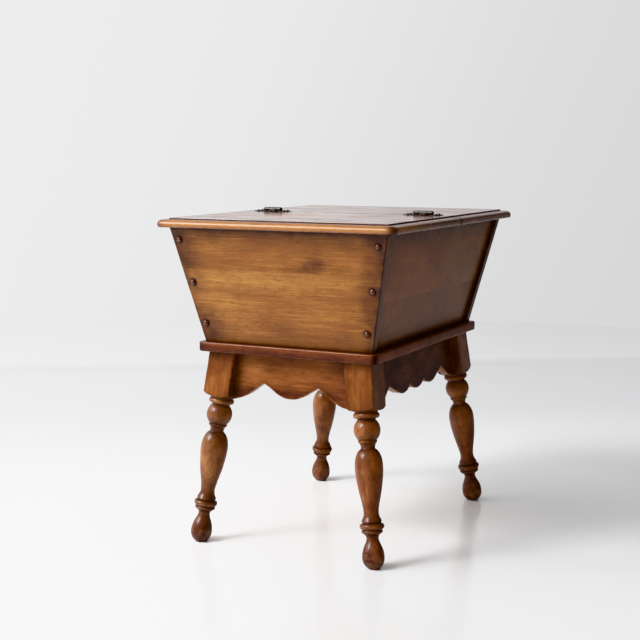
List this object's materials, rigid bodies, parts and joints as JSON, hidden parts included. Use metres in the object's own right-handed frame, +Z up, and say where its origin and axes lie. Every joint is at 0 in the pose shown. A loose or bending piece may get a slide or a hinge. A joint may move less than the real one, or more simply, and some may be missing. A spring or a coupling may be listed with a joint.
{
  "type": "dough box chest on stand",
  "caption": "Small storage chest with outward-leaning sides on a splayed turned-leg stand with scalloped aprons; half of its overhanging top lifts on surface hinges.",
  "frame": {"origin": "centre of the footprint on the floor, between the feet", "axes": "+Z up; +X across the short pegged ends; +Y along the length, from the front pegged end (at -Y, under the hinged half of the top) to the rear end"},
  "size_m": [0.437, 0.557, 0.5675],
  "materials": {
    "top_wood": "stained hardwood, polished lacquer, mirror-like at low angles",
    "box_wood": "amber-brown stained hardwood, satin lacquer, darker toned edges",
    "stand_wood": "amber-brown stained hardwood, satin lacquer, dark in the turned grooves",
    "peg_wood": "dark stained hardwood, satin lacquer",
    "inner_wood": "bare secondary wood, sanded",
    "hinge_iron": "blackened, rubbed bright on the high spots",
    "screw_steel": "dull zinc"
  },
  "bodies": {
    "root": {"fixed_top": "top_wood", "front_end_board": "box_wood", "rear_end_board": "box_wood", "left_side_board": "box_wood", "right_side_board": "box_wood", "front_pegs": "peg_wood", "rear_pegs": "peg_wood", "waist_board": "stand_wood", "leg_front_right": "stand_wood", "leg_front_left": "stand_wood", "leg_rear_right": "stand_wood", "leg_rear_left": "stand_wood", "front_apron": "stand_wood", "rear_apron": "stand_wood", "right_apron": "stand_wood", "left_apron": "stand_wood", "corner_block_front_right": "inner_wood", "corner_block_front_left": "inner_wood", "corner_block_rear_right": "inner_wood", "corner_block_rear_left": "inner_wood", "leg_screws": "screw_steel", "waist_screws": "screw_steel", "box_screws": "screw_steel", "top_cross_rail": "inner_wood", "left_top_cleat": "inner_wood", "right_top_cleat": "inner_wood", "rear_top_cleat": "inner_wood", "top_screws": "screw_steel", "hinge_left_fixed_leaf": "hinge_iron", "hinge_left_pin": "hinge_iron", "hinge_right_fixed_leaf": "hinge_iron", "hinge_right_pin": "hinge_iron", "hinge_fixed_screws": "hinge_iron"},
    "lid": {"lid": "top_wood", "left_lid_batten": "inner_wood", "right_lid_batten": "inner_wood", "batten_screws": "screw_steel", "hinge_left_lid_leaf": "hinge_iron", "hinge_right_lid_leaf": "hinge_iron", "hinge_lid_screws": "hinge_iron"}
  },
  "joints": [
    {"name": "lid_hinge", "type": "hinge", "parent": "root", "child": "lid", "pos_m": [0, 0.005, 0.564], "axis": [-1, 0, 0], "range_deg": [0, 180]}
  ]
}
